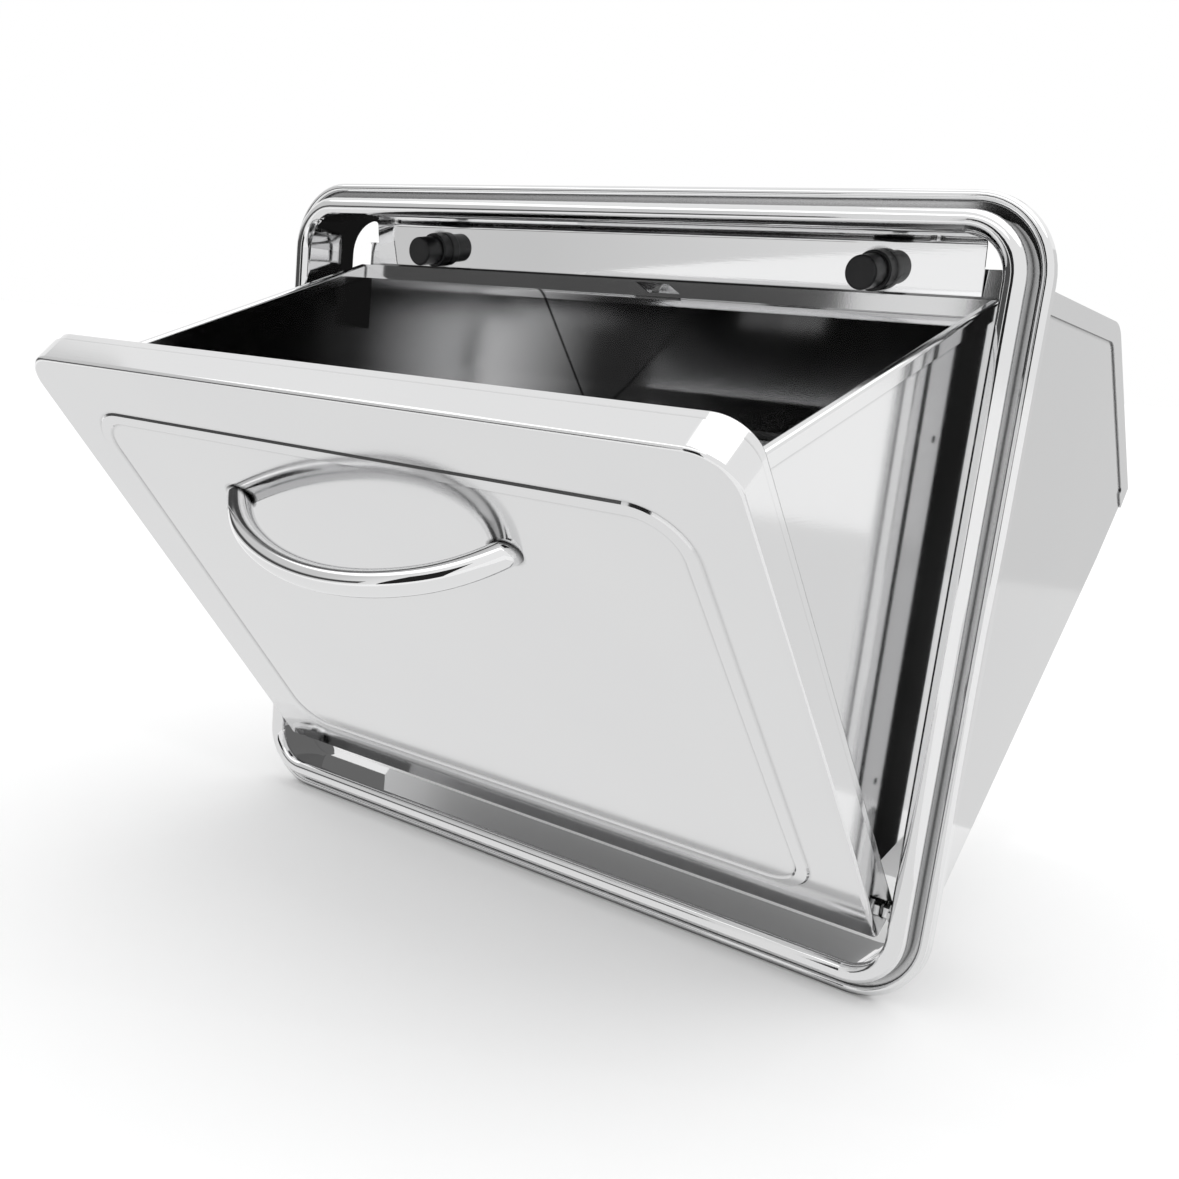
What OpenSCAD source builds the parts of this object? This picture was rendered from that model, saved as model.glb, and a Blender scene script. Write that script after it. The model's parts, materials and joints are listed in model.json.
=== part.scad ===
// Tilt-out waste hopper: a trim frame that lines a cut-out in a cabinet front, and a bin behind
// a door that tips forward on two studs. X runs across the front, -Y points out into the room
// and Z is up. Y = 0 is the cabinet's face and Z = 0 is the trim's lower edge.
// The hopper is drawn in its closed place and stands tilted open.

/* [Trim frame] */
// Width over the trim
trim_w = 560; // [540:1:640]
// Height over the trim
trim_h = 460; // [455:1:520]
// Corner radius of the trim's outer edge
trim_r = 46; // [36:1:60]
// Radius of the small bead on the outer edge
edge_bead_r = 3.1; // [2.5:0.1:3.5]
// Height of the groove's floor above the cabinet face
groove_h = 5.2; // [4:0.1:7]
// Width of the groove's floor
groove_w = 4.1; // [3:0.1:6]
// Radius of the large bead round the opening
bead_r = 6.25; // [5:0.05:8]
// Height of the large bead's crest above the cabinet face
bead_h = 19.9; // [16:0.1:22]
// How far the collar reaches behind the cabinet face
collar_depth = 14; // [12:1:18]
// How far the sleeve reaches behind the cabinet face
sleeve_depth = 32; // [28:1:36]
// Thickness of the stainless sheet
sheet = 1.2; // [1:0.1:1.5]

/* [Fixing holes] */
// Radius of the holes for the screws into the cut-out
fix_hole_r = 2.25; // [2:0.05:2.6]
// Spacing of the two holes in the header
fix_header_pitch = 308; // [200:1:360]
// Spacing of the two holes in each jamb
fix_jamb_pitch = 200; // [150:1:260]
// Distance of the holes behind the cabinet face
fix_y = 5.5; // [5:0.1:10]

/* [Bumper rail] */
// Length of the rail
rail_len = 460; // [400:1:470]
// Distance of the rail's face behind the cabinet face, at its middle
rail_y = 30; // [29:0.1:31]
// Height of the rail's middle
rail_z = 420; // [419:0.5:422]
// Height of the rail's flat face
rail_face_h = 24; // [20:0.5:26]
// Lean of the rail, top edge to the front
rail_lean = 8.6; // [6:0.1:10]
// Distance of each bumper from the middle
bumper_x = 168.4; // [120:0.1:200]
// Radius of the bumper's tip
tip_r = 9.7; // [8:0.1:11]
// Length of the bumper's tip
tip_len = 15.5; // [12:0.5:16]
// Radius of the bumper's base
base_r = 11.5; // [10:0.1:12]
// Length of the bumper's base
base_len = 8.5; // [6:0.5:9]

/* [Hinge] */
// Distance of the hinge line in front of the cabinet face
hinge_out = 8; // [7:0.5:9]
// Height of the hinge line
hinge_z = 60; // [58:1:64]
// How far the hopper stands open
tilt_open = 41.2; // [0:0.1:41.2]
// Radius of the hinge stud
stud_r = 3; // [2.5:0.1:3.5]
// Running clearance of the bush on the stud
stud_play = 0.05; // [0.02:0.01:0.1]

/* [Door] */
// Width of the door
door_w = 502; // [490:1:503]
// Height of the door
door_h = 380.3; // [370:0.1:382]
// Height of the door's lower edge when it is closed
door_z = 46.9; // [45:0.1:48]
// Depth of the door skin
skin_depth = 19.2; // [18:0.1:20]
// Thickness of the whole door
door_depth = 26.5; // [25:0.1:27]
// Distance of the door's face in front of the cabinet face
door_out = 22.4; // [22:0.1:24]
// Radius of the door's top corners
door_r = 23; // [15:1:30]
// Radius of the edge round the door's face
face_r = 3; // [2:0.1:3.4]
// Distance of the raised line from the door's sides
line_side = 32; // [25:1:50]
// Distance of the raised line from the door's lower edge
line_low = 28; // [20:1:50]
// Distance of the raised line from the door's top edge
line_top = 37.3; // [25:0.1:50]
// Corner radius of the raised line
line_r = 33; // [20:1:45]
// Width of the raised line
line_w = 9; // [6:0.5:12]
// Height of the raised line
line_h = 1.2; // [0.8:0.1:1.5]

/* [Handle] */
// Distance of the handle's middle from the door's middle
handle_x = -7; // [-10:1:10]
// Height of the handle above the door's lower edge
handle_s = 289; // [240:1:300]
// Radius of the handle's bar
handle_r = 8; // [7:0.1:9]
// Reach of the bar's centre line from the door's face
handle_reach = 43.4; // [40:0.1:46]
// Bend radius of the handle's long middle
bow_r = 158; // [155:1:162]
// Half of the angle of the middle bend
bow_a = 25; // [22:0.5:26]
// Bend radius of the handle's ends
end_r = 106; // [103:1:109]

/* [Bin] */
// Width over the bin
bin_w = 486.8; // [470:0.1:488]
// Width of the rolled rims
rim_w = 6; // [5:0.1:7]
// Depth of the rolled rims
rim_h = 9; // [8:0.1:10]
// Width of the rear cover's side flanges
cover_flange = 13; // [10:1:16]
// Bend radius between the cover's top and its back
cover_r = 27; // [20:1:40]

/* [Hidden] */
$fn = 96;

steel = "silver";
bright = "gainsboro";
rubber = "dimgray";
left = -1;
right = 1;
slack = 1;

trim_in = 2 * edge_bead_r + groove_w + 2 * bead_r;
open_half = trim_w / 2 - trim_in;
edge_w = 2 * edge_bead_r;
bead_u = edge_w + groove_w;
bead_mid = bead_h - bead_r;
sleeve_front = 2;

hinge_y = -hinge_out;
bush_r = 5;
bush_hole_r = 5.5;
door_y = -door_out;
door_back = door_y + door_depth;
handle_z = door_z + handle_s;
handle_bore_x = 100;
handle_thread_r = 2.5;
handle_bore = 11;
bin_half = bin_w / 2;
wall_half = bin_half - sheet;
bin_in = wall_half - sheet;

screw_r = 2;
screw_head_r = 4;
screw_head_h = 1.4;
rail_screw_x = 205;
nut_t = 3.8;
nut_flange_t = 1.2;
ear_t = 3;
ear_x = 244;

// The rail's foot lies under the sleeve's header, in front of its face
rail_top = trim_h - trim_in + sheet;
rail_bend = 4;
rail_foot_front = collar_depth + 0.6;
function rail_face_y(z) = rail_y - (z - rail_z) * tan(rail_lean);
rail_bend_z = rail_top - rail_bend;
rail_bend_y = rail_face_y(rail_bend_z) - rail_bend + sheet;

// Sides of the handle's bar, and the steps and the end of its sweep past the door's face
bow_sides = 24;
bow_step = 3;
bow_past = 60;

tilt_full = 41.2;

// A point that is given with the hopper open, moved to where it is with the hopper closed.
// Both are [distance behind the cabinet face, height].
function closed(p) = [
    hinge_y + (p[0] - hinge_y) * cos(tilt_full) + (p[1] - hinge_z) * sin(tilt_full),
    hinge_z - (p[0] - hinge_y) * sin(tilt_full) + (p[1] - hinge_z) * cos(tilt_full)];

// Back lip, with the hopper open: it hangs under the rail and stands up behind it as the stop
lip_path = [for (p = [[25, 397], [25, 406.5], [33.5, 406.5], [33.5, 423]]) closed(p)];
lip_hook = lip_path[1];
lip_step = lip_path[2];
lip_top = lip_path[3];
// Bin seen from the side, closed, clockwise from the door's back
bin_depth = 414;
foot_y = 398;
bin_path = [
    [door_back - sheet, 402],
    lip_hook,
    lip_step,
    lip_top,
    [bin_depth, 152],
    [bin_depth, 3],
    [foot_y, -1.5],
    [351, -9.5],
    [66.5, -38],
    [60, 54],
    [38, 64.7],
    [door_back - sheet, 81]];
cover_corner = 4;
// The rims lie on the line from the door's back to the lip
rim_foot = bin_path[0] + rim_h * right_of(bin_path[0], lip_hook);
rim_a = atan2(lip_hook[1] - bin_path[0][1], lip_hook[0] - bin_path[0][0]);
rim_len = norm(lip_hook - bin_path[0]);
// Place of the catch's slot in the lip, from the middle
slot_x0 = 6;
slot_x1 = 30;
slot_skew = 10;
slot_h = 6;

// Unit vector to the right of the way from a to b
function right_of(a, b) = let (d = (b - a) / norm(b - a)) [d[1], -d[0]];
// Corner b of a path through a, b and c, moved to the right by d
function shifted(a, b, c, d) = let (m = right_of(a, b), n = right_of(b, c)) b + d * (m + n) / (1 + m * n);
// A closed outline, moved inwards by d
function inset(p, d) = let (n = len(p)) [for (i = [0:n - 1])
    shifted(p[(i + n - 1) % n], p[i], p[(i + 1) % n], d)];
// An open path's right side, from its end back to its start
function right_side(p, d) = let (n = len(p) - 1) [for (i = [n:-1:0])
    i == n ? p[n] + d * right_of(p[n - 1], p[n])
    : i == 0 ? p[0] + d * right_of(p[0], p[1])
    : shifted(p[i - 1], p[i], p[i + 1], d)];

// Puts the hopper's pieces where they stand with the hopper open
module tilted() {
    translate([0, hinge_y, hinge_z]) rotate([tilt_open, 0, 0]) translate([0, -hinge_y, -hinge_z]) children();
}

// Extrudes a side view, [distance behind the cabinet face, height], across x from x0 to x1
module across(x0, x1) {
    translate([x0, 0, 0]) rotate([90, 0, 90]) linear_extrude(x1 - x0) children();
}

// Sweeps a section round an upright rounded rectangle. The section's x runs inwards from the
// outer edge and its y runs to the front.
module ring(w, h, r_top, r_low) {
    rotate([90, 0, 0]) {
        for (side = [0, 1]) mirror([side, 0, 0]) {
            translate([w / 2, h - r_top, 0]) rotate([90, 0, 0]) ring_bar(h - r_top - r_low) children();
            translate([w / 2 - r_top, h - r_top, 0]) ring_corner(r_top) children();
            translate([w / 2 - r_low, r_low, 0]) rotate([0, 0, -90]) ring_corner(r_low) children();
        }
        translate([r_top - w / 2, h, 0]) rotate([90, 0, 90]) ring_bar(w - 2 * r_top) children();
        translate([w / 2 - r_low, 0, 0]) rotate([90, 0, -90]) ring_bar(w - 2 * r_low) children();
    }
}
module ring_bar(length) {
    linear_extrude(length) mirror([1, 0]) children();
}
module ring_corner(r) {
    rotate_extrude(angle = 90) translate([r, 0]) mirror([1, 0]) children();
}

// Upright plate with rounded corners, from the section's zero to t in front of it
module plate(w, h, r_top, r_low, t) {
    rotate([90, 0, 0]) linear_extrude(t) {
        for (side = [left, right]) {
            translate([side * (w / 2 - r_top), h - r_top]) circle(r_top);
            translate([side * (w / 2 - r_low), r_low]) circle(r_low);
        }
        translate([r_top - w / 2, r_low]) square([w - 2 * r_top, h - r_low]);
        translate([-w / 2, r_low]) square([w, h - r_top - r_low]);
        translate([r_low - w / 2, 0]) square([w - 2 * r_low, r_low]);
    }
}

// Section of a folded edge: a flange, and a quarter bend of outer radius r at its front
module folded_edge(depth, r) {
    square([sheet, depth - r]);
    intersection() {
        translate([r, depth - r]) difference() {
            circle(r);
            circle(r - sheet);
        }
        translate([0, depth - r]) square(r);
    }
}

// Cylinder along X
module x_rod(r, x0, x1) {
    translate([x0, 0, 0]) rotate([0, 90, 0]) cylinder(r = r, h = x1 - x0);
}
module at_hinge() {
    translate([0, hinge_y, hinge_z]) children();
}

// ---- Frame ----

module trim_outline() {
    square([bead_u, groove_h]);
    translate([edge_bead_r, groove_h]) circle(edge_bead_r);
    translate([bead_u, -collar_depth]) square([2 * bead_r, bead_mid + collar_depth]);
    translate([bead_u + bead_r, bead_mid]) circle(bead_r);
}
module trim_hollow() {
    translate([sheet, sheet]) square([edge_w - 2 * sheet, groove_h - sheet]);
    translate([edge_bead_r, groove_h]) circle(edge_bead_r - sheet);
    translate([edge_w - sheet, sheet]) square([groove_w + 2 * sheet, groove_h - 2 * sheet]);
    translate([edge_w, -slack]) square([groove_w + 2 * sheet, groove_h - sheet + slack]);
    translate([bead_u + sheet, -collar_depth - slack])
        square([2 * (bead_r - sheet), bead_mid + collar_depth + slack]);
    translate([bead_u - slack, -collar_depth - slack]) square([2 * sheet + slack, collar_depth + slack]);
    translate([bead_u + bead_r, bead_mid]) circle(bead_r - sheet);
}
module trim_section() {
    difference() {
        trim_outline();
        trim_hollow();
    }
}

// Screw holes through the collar and the sleeve
module fixing_holes() {
    reach = 10;
    for (side = [left, right]) {
        translate([side * fix_header_pitch / 2, fix_y, trim_h - trim_in - reach / 2])
            cylinder(r = fix_hole_r, h = reach);
        translate([side * open_half - reach / 2, fix_y, trim_h / 2 + side * fix_jamb_pitch / 2])
            x_hole(reach);
        translate([side * open_half - reach / 2, fix_y, trim_h / 2 - side * fix_jamb_pitch / 2])
            x_hole(reach);
    }
}
module x_hole(reach) {
    rotate([0, 90, 0]) cylinder(r = fix_hole_r, h = reach);
}

module trim_frame() {
    color(steel) difference() {
        ring(trim_w, trim_h, trim_r, trim_r) trim_section();
        fixing_holes();
        at_hinge() for (side = [0, 1]) mirror([side, 0, 0])
            x_rod(stud_r, open_half - slack, open_half + sheet + slack);
    }
}

module sleeve_band() {
    color(steel) difference() {
        ring(trim_w, trim_h, trim_r, trim_r)
            translate([trim_in - 2 * sheet, -sleeve_depth]) square([sheet, sleeve_depth - sleeve_front]);
        fixing_holes();
        rail_screw_places() translate([0, 0, -slack]) cylinder(r = screw_r, h = 4 * sheet);
    }
}

module rail_screw_places() {
    for (side = [left, right])
        translate([side * rail_screw_x, (rail_foot_front + rail_bend_y) / 2, rail_top - sheet]) children();
}

// Moves along a bumper's axis, out of the rail's face
module at_bumper(side) {
    translate([side * bumper_x, rail_y, rail_z]) rotate([90 + rail_lean, 0, 0]) children();
}

module bumper_rail() {
    low = rail_z - rail_face_h / 2 * cos(rail_lean);
    face_y = rail_face_y(rail_bend_z);
    color(bright) difference() {
        union() {
            across(-rail_len / 2, rail_len / 2) polygon([[rail_face_y(low), low], [face_y, rail_bend_z],
                [face_y + sheet, rail_bend_z], [rail_face_y(low) + sheet, low]]);
            across(-rail_len / 2, rail_len / 2) translate([rail_bend_y, rail_bend_z]) intersection() {
                difference() {
                    circle(rail_bend);
                    circle(rail_bend - sheet);
                }
                square(rail_bend);
            }
            translate([-rail_len / 2, rail_foot_front, rail_top - sheet])
                cube([rail_len, rail_bend_y - rail_foot_front, sheet]);
        }
        for (side = [left, right]) at_bumper(side) translate([0, 0, -3 * sheet])
            cylinder(r = screw_r, h = 6 * sheet);
        rail_screw_places() translate([0, 0, -slack]) cylinder(r = screw_r, h = 4 * sheet);
    }
}

// A round rubber body along Z with a screw bore from its foot
module bumper_body(r, length, edge, bore) {
    rotate_extrude() difference() {
        union() {
            square([r, length - edge]);
            square([r - edge, length]);
            translate([r - edge, length - edge]) circle(edge);
        }
        translate([-slack, -slack]) square([screw_r + slack, bore + slack]);
    }
}
module bumper_base(side) {
    color(rubber) at_bumper(side) bumper_body(base_r, base_len, 1, base_len + slack);
}
module bumper_tip(side) {
    color(rubber) at_bumper(side) translate([0, 0, base_len]) bumper_body(tip_r, tip_len, 1.6, 6);
}
module bumper_base_left() {
    bumper_base(left);
}
module bumper_base_right() {
    bumper_base(right);
}
module bumper_tip_left() {
    bumper_tip(left);
}
module bumper_tip_right() {
    bumper_tip(right);
}

module screw(length) {
    translate([0, 0, -screw_head_h]) cylinder(r = screw_head_r, h = screw_head_h);
    cylinder(r = screw_r, h = length);
}
module bumper_screws() {
    color(bright) for (side = [left, right])
        at_bumper(side) translate([0, 0, -sheet]) screw(base_len + 6);
}
module rail_screws() {
    color(bright) rail_screw_places() screw(5);
}

module hinge_stud(side) {
    head_r = 5.5;
    head_t = 2;
    color(bright) at_hinge() mirror([side == left ? 1 : 0, 0, 0]) {
        x_rod(stud_r, open_half - 21.2, open_half + sheet + head_t);
        x_rod(head_r, open_half + sheet, open_half + sheet + head_t);
    }
}
module hinge_stud_left() {
    hinge_stud(left);
}
module hinge_stud_right() {
    hinge_stud(right);
}

// Flanged lock nuts that hold the studs to the collar
module hinge_nuts() {
    color(bright) at_hinge() for (side = [0, 1]) mirror([side, 0, 0]) difference() {
        union() {
            x_rod(6.6, open_half - nut_flange_t, open_half);
            translate([open_half - nut_flange_t - nut_t, 0, 0]) rotate([0, 90, 0])
                cylinder(r = 10 / sqrt(3), h = nut_t, $fn = 6);
        }
        x_rod(stud_r, open_half - 2 * nut_t, open_half + slack);
    }
}

// ---- Door ----

module hinge_holes(r) {
    at_hinge() for (side = [0, 1]) mirror([side, 0, 0]) x_rod(r, ear_x - slack, door_w / 2 + slack);
}

module door_skin() {
    line_depth = door_h - line_low - line_top;
    color(steel) tilted() difference() {
        union() {
            translate([0, door_y + skin_depth, door_z]) {
                ring(door_w, door_h, door_r, face_r + 0.5) folded_edge(skin_depth, face_r);
                translate([0, sheet - skin_depth, face_r])
                    plate(door_w - 2 * face_r, door_h - 2 * face_r, door_r - face_r, 0.5, sheet);
            }
            translate([0, door_y, door_z + line_low]) ring(door_w - 2 * line_side, line_depth, line_r, line_r)
                polygon([[0, -sheet / 2], [0, 0], [line_h, line_h], [line_w - line_h, line_h], [line_w, 0],
                    [line_w, -sheet / 2]]);
        }
        hinge_holes(bush_hole_r);
        handle_places() translate([0, 0, -slack]) cylinder(r = handle_thread_r, h = sheet + 2 * slack);
    }
}

// The liner's flange slips inside the skin's, and its back closes the door
module door_liner() {
    liner_depth = 20;
    liner_r = 1.8;
    w = door_w - 2 * sheet;
    h = door_h - 2 * sheet;
    color(steel) tilted() difference() {
        translate([0, door_back, door_z + sheet]) mirror([0, 1, 0]) translate([0, liner_depth, 0]) {
            ring(w, h, door_r - sheet, face_r + 0.5 - sheet) folded_edge(liner_depth, liner_r);
            translate([0, sheet - liner_depth, liner_r])
                plate(w - 2 * liner_r, h - 2 * liner_r, door_r - sheet - liner_r, 0.5, sheet);
        }
        hinge_holes(bush_hole_r);
    }
}

// Starts at the skin's inner face and points out of the door
module handle_places() {
    for (side = [left, right])
        translate([handle_x + side * handle_bore_x, door_y + sheet, handle_z]) rotate([90, 0, 0]) children();
}

// Centre line of the handle at angle a from the bow's middle: [across, back from the crest]
function bow_point(a) = abs(a) <= bow_a
    ? bow_r * [sin(a), 1 - cos(a)]
    : [0, bow_r] + (bow_r - end_r) * [sign(a) * sin(bow_a), -cos(bow_a)] + end_r * [sin(a), -cos(a)];
// Ring of the bar's surface at angle a from the bow's middle
function bow_ring(a) = let (p = bow_point(a)) [for (t = [0:360 / bow_sides:359])
    [p[0] + handle_r * cos(t) * sin(a), p[1] - handle_r * cos(t) * cos(a), handle_r * sin(t)]];

// Round bar bent to a bow, cut flush with the door's face and tapped from there
module handle_bar() {
    rings = [for (a = [-bow_past:bow_step:bow_past]) bow_ring(a)];
    last = len(rings) - 1;
    n = bow_sides;
    sides = [for (i = [0:last - 1], j = [0:n - 1])
        [i * n + j, i * n + (j + 1) % n, (i + 1) * n + (j + 1) % n, (i + 1) * n + j]];
    ends = [[for (j = [n - 1:-1:0]) j], [for (j = [0:n - 1]) last * n + j]];
    color(bright) tilted() difference() {
        intersection() {
            translate([handle_x, door_y - handle_reach, handle_z])
                polyhedron([for (ring = rings) each ring], concat(sides, ends));
            translate([-door_w / 2, door_y - 2 * handle_reach, 0]) cube([door_w, 2 * handle_reach, trim_h]);
        }
        handle_places() cylinder(r = handle_thread_r, h = handle_bore);
    }
}
module handle_screws() {
    color(bright) tilted() handle_places() {
        translate([0, 0, -2.6]) cylinder(r = 4.4, h = 2.6);
        cylinder(r = handle_thread_r, h = handle_bore);
    }
}

// ---- Hinge ears ----

module hinge_ear(side) {
    foot_w = 14;
    ear_h = 34;
    front = door_y + sheet;
    back = door_back - sheet;
    low = door_z + 2 * sheet;
    color(steel) tilted() mirror([side == left ? 1 : 0, 0, 0]) difference() {
        union() {
            translate([ear_x, front, low]) cube([ear_t, back - front, ear_h]);
            translate([ear_x - foot_w, front, low]) cube([foot_w + ear_t, ear_t, ear_h]);
        }
        at_hinge() x_rod(bush_r, ear_x - slack, ear_x + ear_t + slack);
    }
}
module hinge_ear_left() {
    hinge_ear(left);
}
module hinge_ear_right() {
    hinge_ear(right);
}

module hinge_bush(side) {
    color(bright) tilted() at_hinge() mirror([side == left ? 1 : 0, 0, 0]) difference() {
        x_rod(bush_r, ear_x - 4, door_w / 2 + 0.5);
        x_rod(stud_r + stud_play, ear_x - 5, door_w / 2 + slack);
    }
}
module hinge_bush_left() {
    hinge_bush(left);
}
module hinge_bush_right() {
    hinge_bush(right);
}

// ---- Bin ----

// What lies outside a bend of radius r at corner b
module bend_waste(a, b, c, r) {
    centre = shifted(a, b, c, r);
    difference() {
        polygon([centre - r * right_of(a, b), b, centre - r * right_of(b, c)]);
        translate(centre) circle(r);
    }
}
// The bin's side view, moved inwards by d, with the bend between the cover's top and back
module bin_side(d) {
    p = inset(bin_path, d);
    difference() {
        polygon(p);
        bend_waste(p[cover_corner - 1], p[cover_corner], p[cover_corner + 1], cover_r - d);
    }
}
// The part of the bin's edge, t deep, that lies between two heights and two distances
module bin_edge(t, y0, y1, z0, z1) {
    intersection() {
        difference() {
            bin_side(0);
            bin_side(t);
        }
        translate([y0, z0]) square([y1 - y0, z1 - z0]);
    }
}

module side_panel(side) {
    color(steel) tilted() mirror([side == left ? 1 : 0, 0, 0]) across(bin_in, wall_half) difference() {
        bin_side(sheet);
        translate([rim_foot[0], rim_foot[1]]) rotate(rim_a) translate([-slack, rim_h - 2 * sheet])
            square([rim_len + 2 * slack, rim_h]);
    }
}
module side_panel_left() {
    side_panel(left);
}
module side_panel_right() {
    side_panel(right);
}

module floor_panel() {
    color(steel) tilted() across(-bin_in, bin_in)
        bin_edge(sheet, door_back, foot_y, bin_path[8][1], bin_path[11][1]);
}

// Top, back and turned-in foot of the cover, t deep
module cover_side(t) {
    lip_back = lip_top + sheet * right_of(lip_step, lip_top);
    behind = bin_depth + slack;
    seam_z = 20;
    bin_edge(t, lip_back[0], behind, seam_z, lip_top[1]);
    bin_edge(t, foot_y, behind, bin_path[7][1], seam_z);
}
module rear_cover() {
    color(steel) tilted() {
        across(-wall_half, wall_half) cover_side(sheet);
        for (side = [0, 1]) mirror([side, 0, 0]) across(wall_half, bin_half) cover_side(cover_flange);
    }
}

// Rounded channel that grips the panel's upper edge
module rim_section() {
    r = 2;
    difference() {
        union() {
            translate([0, 0]) square([rim_w, rim_h - r]);
            translate([r, rim_h - 2 * r]) square([rim_w - 2 * r, 2 * r]);
            for (x = [r, rim_w - r]) translate([x, rim_h - r]) circle(r);
        }
        translate([rim_w - 2 * sheet, -slack]) square([sheet, rim_h - 2 * sheet + slack]);
    }
}
module rim(side) {
    color(steel) tilted() mirror([side == left ? 1 : 0, 0, 0]) intersection() {
        translate([bin_half - rim_w, rim_foot[0], rim_foot[1]]) rotate([rim_a, 0, 0]) translate([0, -20, 0])
            rotate([90, 0, 180]) mirror([1, 0, 0]) linear_extrude(rim_len + 40) rim_section();
        across(0, trim_w) polygon([[door_back, 0], [door_back, trim_h], [lip_hook[0], trim_h],
            lip_hook, lip_path[0]]);
    }
}
module rim_left() {
    rim(left);
}
module rim_right() {
    rim(right);
}

module back_lip() {
    color(steel) tilted() difference() {
        across(-bin_in, bin_in) polygon(concat(lip_path, right_side(lip_path, sheet)));
        lip_frame() translate([0, 0, -slack]) linear_extrude(sheet + 2 * slack)
            polygon([[slot_x0, 0], [slot_x1, 0], [slot_x1 + slot_skew, -slot_h],
                [slot_x0 + slot_skew, -slot_h]]);
    }
}
// Frame on the lip's face: x across, y up the face from its upper edge, z into the bin
module lip_frame() {
    translate([0, lip_hook[0], lip_hook[1]]) rotate([-tilt_full, 0, 0]) rotate([90, 0, 0]) mirror([0, 0, 1])
        translate([0, -sheet, 0]) children();
}
// Sprung tongue behind the slot
module stop_catch() {
    color(bright) tilted() lip_frame() {
        translate([slot_x0, -slot_h - 4, sheet]) cube([slot_x1 + slot_skew - slot_x0, 4, sheet]);
        translate([0, 0, sheet]) linear_extrude(sheet)
            polygon([[22, 0], [26, 0], [22, -slot_h - 1], [17, -slot_h - 1]]);
    }
}

trim_frame();
sleeve_band();
bumper_rail();
bumper_base_left();
bumper_base_right();
bumper_tip_left();
bumper_tip_right();
bumper_screws();
rail_screws();
hinge_stud_left();
hinge_stud_right();
hinge_nuts();
door_skin();
door_liner();
handle_bar();
handle_screws();
hinge_ear_left();
hinge_ear_right();
hinge_bush_left();
hinge_bush_right();
side_panel_left();
side_panel_right();
floor_panel();
rear_cover();
rim_left();
rim_right();
back_lip();
stop_catch();
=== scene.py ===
"""Looks of the tilt-out waste hopper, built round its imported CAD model."""

import json
import math

import bmesh
import bpy
from mathutils import Euler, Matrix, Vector


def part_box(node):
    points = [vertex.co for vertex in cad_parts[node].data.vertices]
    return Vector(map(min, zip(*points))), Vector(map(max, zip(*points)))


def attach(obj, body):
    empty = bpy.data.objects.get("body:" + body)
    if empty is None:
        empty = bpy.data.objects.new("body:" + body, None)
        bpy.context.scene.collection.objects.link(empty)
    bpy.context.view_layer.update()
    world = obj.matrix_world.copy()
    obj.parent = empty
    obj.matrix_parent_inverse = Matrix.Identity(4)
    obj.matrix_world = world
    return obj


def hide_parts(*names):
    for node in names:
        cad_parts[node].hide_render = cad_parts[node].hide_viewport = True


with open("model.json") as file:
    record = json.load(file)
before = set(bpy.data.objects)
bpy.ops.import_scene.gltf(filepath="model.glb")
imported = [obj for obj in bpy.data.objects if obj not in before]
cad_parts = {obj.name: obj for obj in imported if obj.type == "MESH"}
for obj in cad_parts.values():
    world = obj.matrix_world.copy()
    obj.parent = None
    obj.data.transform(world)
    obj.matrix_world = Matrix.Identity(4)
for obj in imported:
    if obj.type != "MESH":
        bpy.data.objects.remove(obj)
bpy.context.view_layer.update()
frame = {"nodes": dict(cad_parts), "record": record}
nodes = frame["nodes"]
MM = 0.001

# ---- Shader helpers ----


def new_material(name):
    """An empty node material with its output, and its node and link makers."""
    mat = bpy.data.materials.new(name)
    mat.use_nodes = True
    tree = mat.node_tree
    tree.nodes.clear()
    out = tree.nodes.new("ShaderNodeOutputMaterial")
    return mat, tree, out


EVEN = (1.0, 1.0, 1.0)
SMEAR_TINT = (0.965, 0.967, 0.975)
# Painted shade in creases: how open a spot is where the painted shade is darkest and where it ends, and
# its darkest tone
PAINTED_SHADE_OPEN = (0.42, 0.95)
PAINTED_SHADE_DARKEST = 0.08


def add(tree, kind, **sockets):
    """A shader node with some of its inputs set."""
    node = tree.nodes.new(kind)
    for name, value in sockets.items():
        node.inputs[name.replace("_", " ")].default_value = value
    return node


def coordinates(tree, scale):
    """Object coordinates, stretched along each axis."""
    coord = tree.nodes.new("ShaderNodeTexCoord")
    mapping = tree.nodes.new("ShaderNodeMapping")
    mapping.inputs["Scale"].default_value = scale
    tree.links.new(coord.outputs["Object"], mapping.inputs["Vector"])
    return mapping.outputs["Vector"]


def noise(tree, vector, scale, detail=3.0, rough=0.5):
    """A noise value at each point of a vector."""
    node = tree.nodes.new("ShaderNodeTexNoise")
    node.inputs["Scale"].default_value = scale
    node.inputs["Detail"].default_value = detail
    node.inputs["Roughness"].default_value = rough
    tree.links.new(vector, node.inputs["Vector"])
    return node.outputs["Fac"]


def span(tree, value, low, high, start=0.0, end=1.0):
    """Stretches a value that runs from start to end, so that it runs from low to high."""
    node = tree.nodes.new("ShaderNodeMapRange")
    node.inputs["From Min"].default_value = start
    node.inputs["From Max"].default_value = end
    node.inputs["To Min"].default_value = low
    node.inputs["To Max"].default_value = high
    tree.links.new(value, node.inputs["Value"])
    return node.outputs["Result"]


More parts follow.
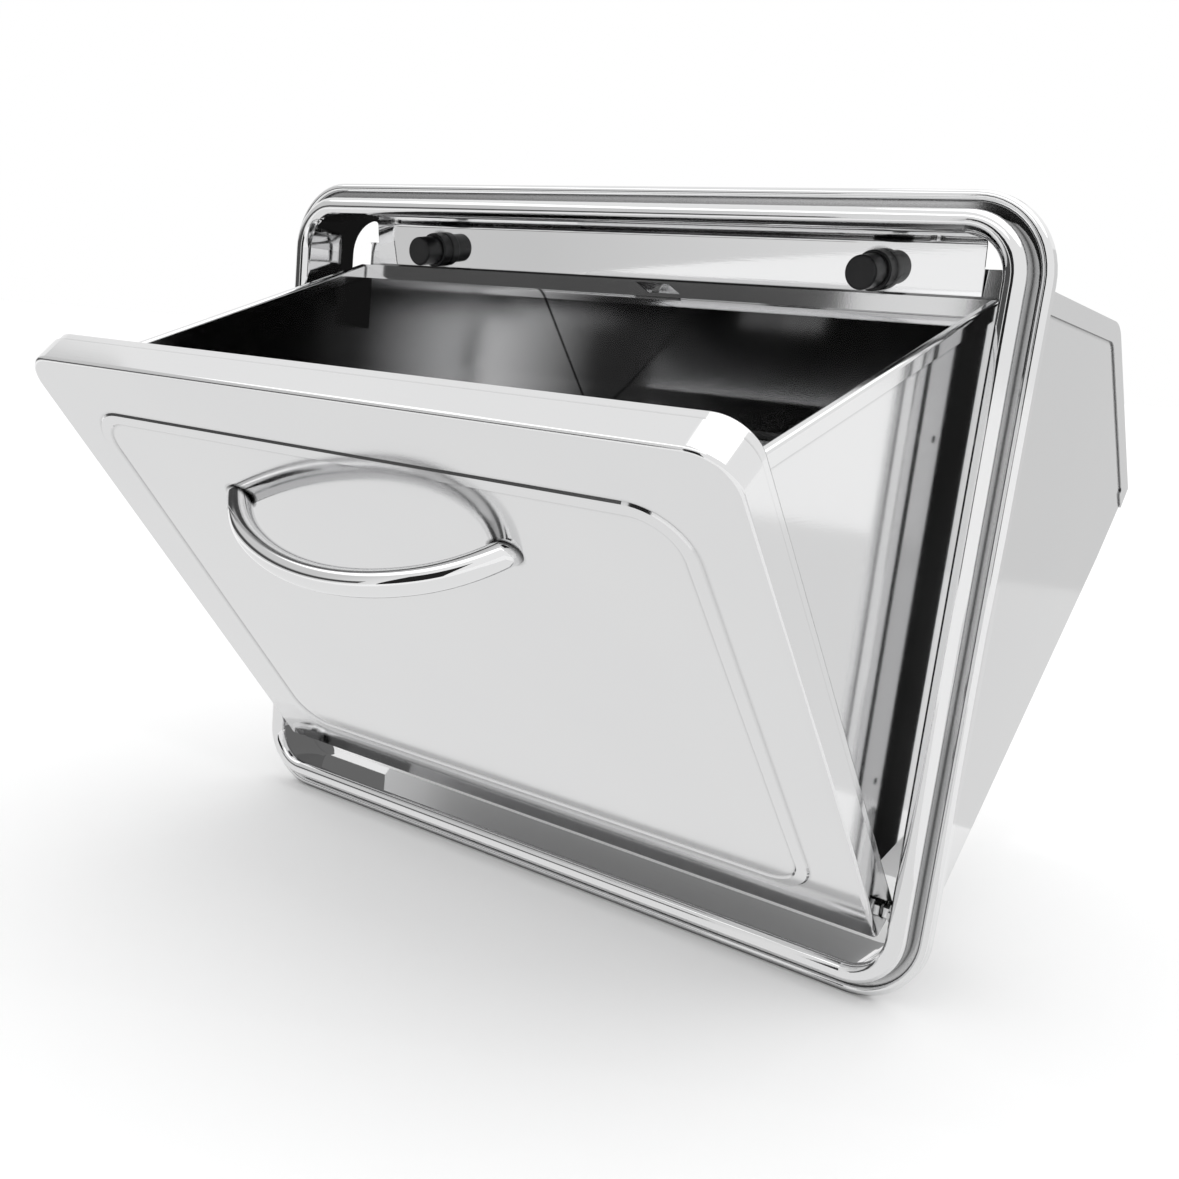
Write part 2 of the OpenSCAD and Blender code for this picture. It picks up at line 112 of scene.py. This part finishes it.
def steel(name, tone, rough, grain=EVEN, grain_mm=0.02, wave_mm=0.0, painted_shade_mm=2.5):
    """Polished stainless: faint smears in its colour and gloss, hairline grain along one
    axis, sheet that isn't dead flat, and painted shade that darkens its colour in creases,
    as shade would fall there in a dim room."""
    mat, tree, out = new_material(name)
    shader = add(tree, "ShaderNodeBsdfPrincipled", Metallic=1.0)
    links = tree.links
    place = coordinates(tree, EVEN)
    smears = noise(tree, place, 9.0, 4.0)
    ramp = tree.nodes.new("ShaderNodeMix")
    ramp.data_type = "RGBA"
    ramp.inputs["A"].default_value = (*(tone * tint for tint in SMEAR_TINT), 1)
    ramp.inputs["B"].default_value = (tone, tone, tone, 1)
    links.new(smears, ramp.inputs["Factor"])
    # Painted shade: how open each spot is darkens the colour in creases and between parts
    painted_shade_ao = tree.nodes.new("ShaderNodeAmbientOcclusion")
    painted_shade_ao.samples = 4
    painted_shade_ao.inputs["Distance"].default_value = painted_shade_mm * MM
    shade = tree.nodes.new("ShaderNodeMix")
    shade.data_type = "RGBA"
    shade.blend_type = "MULTIPLY"
    shade.inputs["Factor"].default_value = 1.0
    links.new(ramp.outputs["Result"], shade.inputs["A"])
    painted_shade_factor = span(tree, painted_shade_ao.outputs["AO"], PAINTED_SHADE_DARKEST, 1.0, *PAINTED_SHADE_OPEN)
    links.new(painted_shade_factor, shade.inputs["B"])
    links.new(shade.outputs["Result"], shader.inputs["Base Color"])
    hairs = noise(tree, coordinates(tree, grain), 900.0, 2.0, 0.6)
    gloss = span(tree, noise(tree, place, 23.0, 5.0), rough * 0.75, rough * 1.3)
    links.new(gloss, shader.inputs["Roughness"])
    bump = add(tree, "ShaderNodeBump", Strength=1.0, Distance=grain_mm * MM)
    links.new(hairs, bump.inputs["Height"])
    if wave_mm:
        slow = add(tree, "ShaderNodeBump", Strength=1.0, Distance=wave_mm * MM)
        links.new(noise(tree, place, 4.5, 1.0), slow.inputs["Height"])
        links.new(slow.outputs["Normal"], bump.inputs["Normal"])
    links.new(bump.outputs["Normal"], shader.inputs["Normal"])
    links.new(shader.outputs["BSDF"], out.inputs["Surface"])
    return mat


def rubber(name):
    """Matt black rubber with a fine moulded skin and a little dust in its tone."""
    mat, tree, out = new_material(name)
    shader = add(tree, "ShaderNodeBsdfPrincipled", Metallic=0.0)
    shader.inputs["Specular IOR Level"].default_value = 0.35
    place = coordinates(tree, EVEN)
    ramp = tree.nodes.new("ShaderNodeMix")
    ramp.data_type = "RGBA"
    ramp.inputs["A"].default_value = (0.005, 0.005, 0.006, 1)
    ramp.inputs["B"].default_value = (0.013, 0.013, 0.014, 1)
    tree.links.new(noise(tree, place, 140.0, 4.0), ramp.inputs["Factor"])
    tree.links.new(ramp.outputs["Result"], shader.inputs["Base Color"])
    tree.links.new(span(tree, noise(tree, place, 60.0), 0.30, 0.42), shader.inputs["Roughness"])
    bump = add(tree, "ShaderNodeBump", Strength=0.6, Distance=0.05 * MM)
    tree.links.new(noise(tree, place, 2500.0, 2.0), bump.inputs["Height"])
    tree.links.new(bump.outputs["Normal"], shader.inputs["Normal"])
    tree.links.new(shader.outputs["BSDF"], out.inputs["Surface"])
    return mat


def paint(obj, mat):
    """Gives every slot of an object one material."""
    if not obj.material_slots:
        obj.data.materials.append(mat)
    for place in obj.material_slots:
        place.material = mat


# Each steel's tone, roughness, stretch of its grain, depth of its grain and waviness, and for the trim
# how far its painted crease shade reaches
MATERIALS = {
    "trim_steel": steel("polished_trim", 0.76, 0.06, EVEN, 0.003, painted_shade_mm=4.5),
    "rail_steel": steel("mirror_rail", 0.78, 0.03, (0.05, 1.0, 1.0), 0.002),
    "door_steel": steel("polished_door", 0.76, 0.09, (0.03, 1.0, 1.0), 0.004, 0.1),
    "handle_steel": steel("mirror_handle", 0.80, 0.02, EVEN, 0.001),
    "bin_steel": steel("polished_bin", 0.74, 0.08, (1.0, 0.03, 1.0), 0.004, 0.1),
    "hardware_steel": steel("bright_hardware", 0.74, 0.12, EVEN, 0.01),
    "rubber": rubber("black_rubber"),
}
for entry in frame["record"]["subparts"]:
    paint(nodes[entry["node"]], MATERIALS[entry["material_slot"]])


# ---- Pieces made here ----

# The hopper is drawn closed, and stands open by the joint's whole range
tilt = frame["record"]["behaviour"]["joints"][0]
OPEN = math.radians(-tilt["range_deg"][0])
HINGE = Vector(tilt["pos_m"])


def opened(point):
    """A point of the closed hopper, moved to where it is with the hopper open."""
    rel = Vector(point) - HINGE
    c, s = math.cos(OPEN), math.sin(OPEN)
    return HINGE + Vector((rel.x, rel.y * c - rel.z * s, rel.y * s + rel.z * c))


def handle():
    """The bow handle, swept smoothly along two arcs and cut flush with the door's face."""
    bar_r = 8 * MM
    reach = 43.4 * MM
    bow_r, end_r = 158 * MM, 106 * MM
    bow_a = math.radians(25)
    middle_x = -7 * MM
    face_y = -22.4 * MM
    height = 335.9 * MM
    inner = bow_r - end_r
    end_a = math.acos((bow_r - inner * math.cos(bow_a) - reach) / end_r)

    def centre(a):
        if abs(a) <= bow_a:
            return Vector((bow_r * math.sin(a), bow_r * (1 - math.cos(a))))
        side = math.copysign(inner * math.sin(bow_a), a)
        return Vector((side + end_r * math.sin(a), bow_r - inner * math.cos(bow_a) - end_r * math.cos(a)))

    rings, sides = 96, 64
    mesh = bmesh.new()
    loops = []
    for i in range(rings + 1):
        a = end_a * (2 * i / rings - 1)
        mid = centre(a)
        loop = []
        for j in range(sides):
            t = 2 * math.pi * j / sides
            out = bar_r * math.cos(t)
            spot = Vector((
                middle_x + mid.x + out * math.sin(a),
                face_y - reach + mid.y - out * math.cos(a),
                height + bar_r * math.sin(t),
            ))
            if i in (0, rings):
                along = Vector((math.cos(a), math.sin(a), 0))
                spot += along * ((face_y - spot.y) / along.y)
            loop.append(mesh.verts.new(opened(spot)))
        loops.append(loop)
    for low, high in zip(loops, loops[1:]):
        for j in range(sides):
            k = (j + 1) % sides
            mesh.faces.new((low[j], low[k], high[k], high[j]))
    mesh.faces.new(loops[0][::-1])
    mesh.faces.new(loops[-1])
    bmesh.ops.recalc_face_normals(mesh, faces=mesh.faces)
    data = bpy.data.meshes.new("bow_handle")
    mesh.to_mesh(data)
    mesh.free()
    for face in data.polygons:
        face.use_smooth = len(face.vertices) == 4
    piece = bpy.data.objects.new("bow_handle", data)
    bpy.context.scene.collection.objects.link(piece)
    paint(piece, MATERIALS["handle_steel"])
    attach(piece, "hopper")
    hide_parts("handle_bar")


handle()

# ---- Stage ----


def floor_material(name, colour, lift):
    """Matt white paper, lifted a little so that shadows on it stay pale."""
    mat, tree, out = new_material(name)
    shader = add(tree, "ShaderNodeBsdfPrincipled", Roughness=0.9)
    shader.inputs["Base Color"].default_value = (*colour, 1)
    shader.inputs["Emission Color"].default_value = (1, 1, 1, 1)
    shader.inputs["Emission Strength"].default_value = lift
    tree.links.new(shader.outputs["BSDF"], out.inputs["Surface"])
    return mat


def glow(name, strength, fade=None):
    """The grey of a studio card, which may fade to white from fade[0] to fade[1] along X."""
    mat, tree, out = new_material(name)
    shader = add(tree, "ShaderNodeEmission", Strength=strength)
    if fade:
        coord = tree.nodes.new("ShaderNodeTexCoord")
        split = tree.nodes.new("ShaderNodeSeparateXYZ")
        tree.links.new(coord.outputs["Object"], split.inputs["Vector"])
        tree.links.new(span(tree, split.outputs["X"], strength, 1.0, *fade), shader.inputs["Strength"])
    tree.links.new(shader.outputs["Emission"], out.inputs["Surface"])
    return mat


def sheet_of(name, corners, faces, mat):
    """A stage sheet with given corners and faces."""
    mesh = bpy.data.meshes.new(name)
    mesh.from_pydata(corners, [], faces)
    mesh.materials.append(mat)
    obj = bpy.data.objects.new(name, mesh)
    bpy.context.scene.collection.objects.link(obj)
    return obj


def only_mirrored(obj):
    """A card that the steel reflects, and that neither shows nor shades anything."""
    obj.visible_camera = False
    obj.visible_diffuse = False
    obj.visible_shadow = False


def upright_card(name, strength, x0, x1, y, z0, z1, fade=None):
    """A card square to Y."""
    corners = [(x0, y, z0), (x1, y, z0), (x1, y, z1), (x0, y, z1)]
    only_mirrored(sheet_of(name, corners, [(0, 1, 2, 3)], glow(name, strength, fade)))


def flat_sheet(name, x0, x1, y0, y1, z, mat):
    """A stage sheet that lies flat."""
    corners = [(x0, y0, z), (x1, y0, z), (x1, y1, z), (x0, y1, z)]
    return sheet_of(name, corners, [(0, 1, 2, 3)], mat)


def lying_card(name, strength, x0, x1, y0, y1, z):
    """A card that lies flat."""
    only_mirrored(flat_sheet(name, x0, x1, y0, y1, z, glow(name, strength)))


def round_card(name, strength, radius, turn0, turn1, z0, z1, fade=None):
    """A card bent round the object, between two turns in degrees from the front to the right."""
    steps = 24
    corners = []
    for i in range(steps + 1):
        turn = math.radians(turn0 + (turn1 - turn0) * i / steps)
        for z in (z0, z1):
            corners.append((radius * math.sin(turn), -radius * math.cos(turn), z))
    faces = [(2 * i, 2 * i + 2, 2 * i + 3, 2 * i + 1) for i in range(steps)]
    only_mirrored(sheet_of(name, corners, faces, glow(name, strength, fade)))


FLOOR_HALF = 30.0
WALL_R = 2.0
BAND_R = 1.95
FLAG_R = 1.9
PAPER = floor_material("floor_white", (0.8, 0.8, 0.8), 0.12)
flat_sheet("floor", -FLOOR_HALF, FLOOR_HALF, -FLOOR_HALF, FLOOR_HALF, 0, PAPER)

# Walls, dark bands at the horizon, a flag in front and a softbox above
round_card("wall_left", 0.70, WALL_R, -85, -5, 0.0, 1.7, (-1.3, -0.35))
round_card("horizon_low", 0.08, BAND_R, -85, -22, 0.20, 0.56)
round_card("horizon_high", 0.16, BAND_R, -85, -30, 0.56, 0.68, (-2.2, -0.4))
round_card("flag", 0.02, FLAG_R, -15, 11, 0.0, 1.0)
round_card("softbox", 1.7, FLAG_R, -80, 30, 1.75, 2.6)
round_card("wall_back", 0.76, WALL_R, 152, 200, 0.0, 1.0)

# Greyer paper behind the bin and under the door, seen only in reflections; under the door it is painted
# light, evenly lit where the real floor lies in the door's shade
PAPER_LIFT = 3 * MM
lying_card("floor_back", 0.86, 0.2, 1.6, 0.36, 2.2, PAPER_LIFT)
lying_card("floor_fill", 0.92, -0.9, 0.5, -0.85, -0.022, PAPER_LIFT)

# Dark flags behind the opening, seen only in reflections: dark sheets standing in for the shade of the
# cabinet's inside
gap_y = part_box("sleeve_band")[1].y + 4 * MM
bin_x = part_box("rear_cover")[1].x
near, far = bin_x + 6 * MM, bin_x + 34 * MM
upright_card("gap_right", 0.01, near, far, gap_y, 0.03, 0.43)
upright_card("gap_left", 0.01, -far, -near, gap_y, 0.12, 0.36)
upright_card("gap_corner", 0.01, -far, -0.205, gap_y, 0.36, 0.45)
upright_card("gap_low", 0.16, -far, -0.19, gap_y, 0.03, 0.12)
upright_card("gap_top", 0.03, -0.255, 0.255, gap_y + 10 * MM, 0.425, 0.445)

# A reflector in the bin's mouth, which its back mirrors, brighter to the right
upright_card("bin_glow", 0.04, -0.05, 0.23, -0.02, 0.12, 0.35, (0.04, 0.2))

world = bpy.data.worlds.new("studio")
bpy.context.scene.world = world
world.use_nodes = True
background = world.node_tree.nodes["Background"]
background.inputs["Color"].default_value = (1, 1, 1, 1)
background.inputs["Strength"].default_value = 1.0

sun_data = bpy.data.lights.new("top_soft", "SUN")
sun_data.energy = 0.7
sun_data.angle = math.radians(70)
sun = bpy.data.objects.new("top_soft", sun_data)
sun.rotation_euler = (math.radians(-12), math.radians(10), 0)
bpy.context.scene.collection.objects.link(sun)

# ---- Camera ----

camera_data = bpy.data.cameras.new("camera")
camera_data.lens = 42.78
camera_data.sensor_width = 36
camera_data.shift_x = 0.102
camera_data.shift_y = 0.096
camera = bpy.data.objects.new("camera", camera_data)
camera.location = (0.535, -0.766, 0.368)
camera.rotation_euler = Euler([math.radians(a) for a in (74.98, -4.93, 40.11)])
bpy.context.scene.collection.objects.link(camera)
bpy.context.scene.camera = camera
bpy.context.scene.view_settings.view_transform = "Standard"
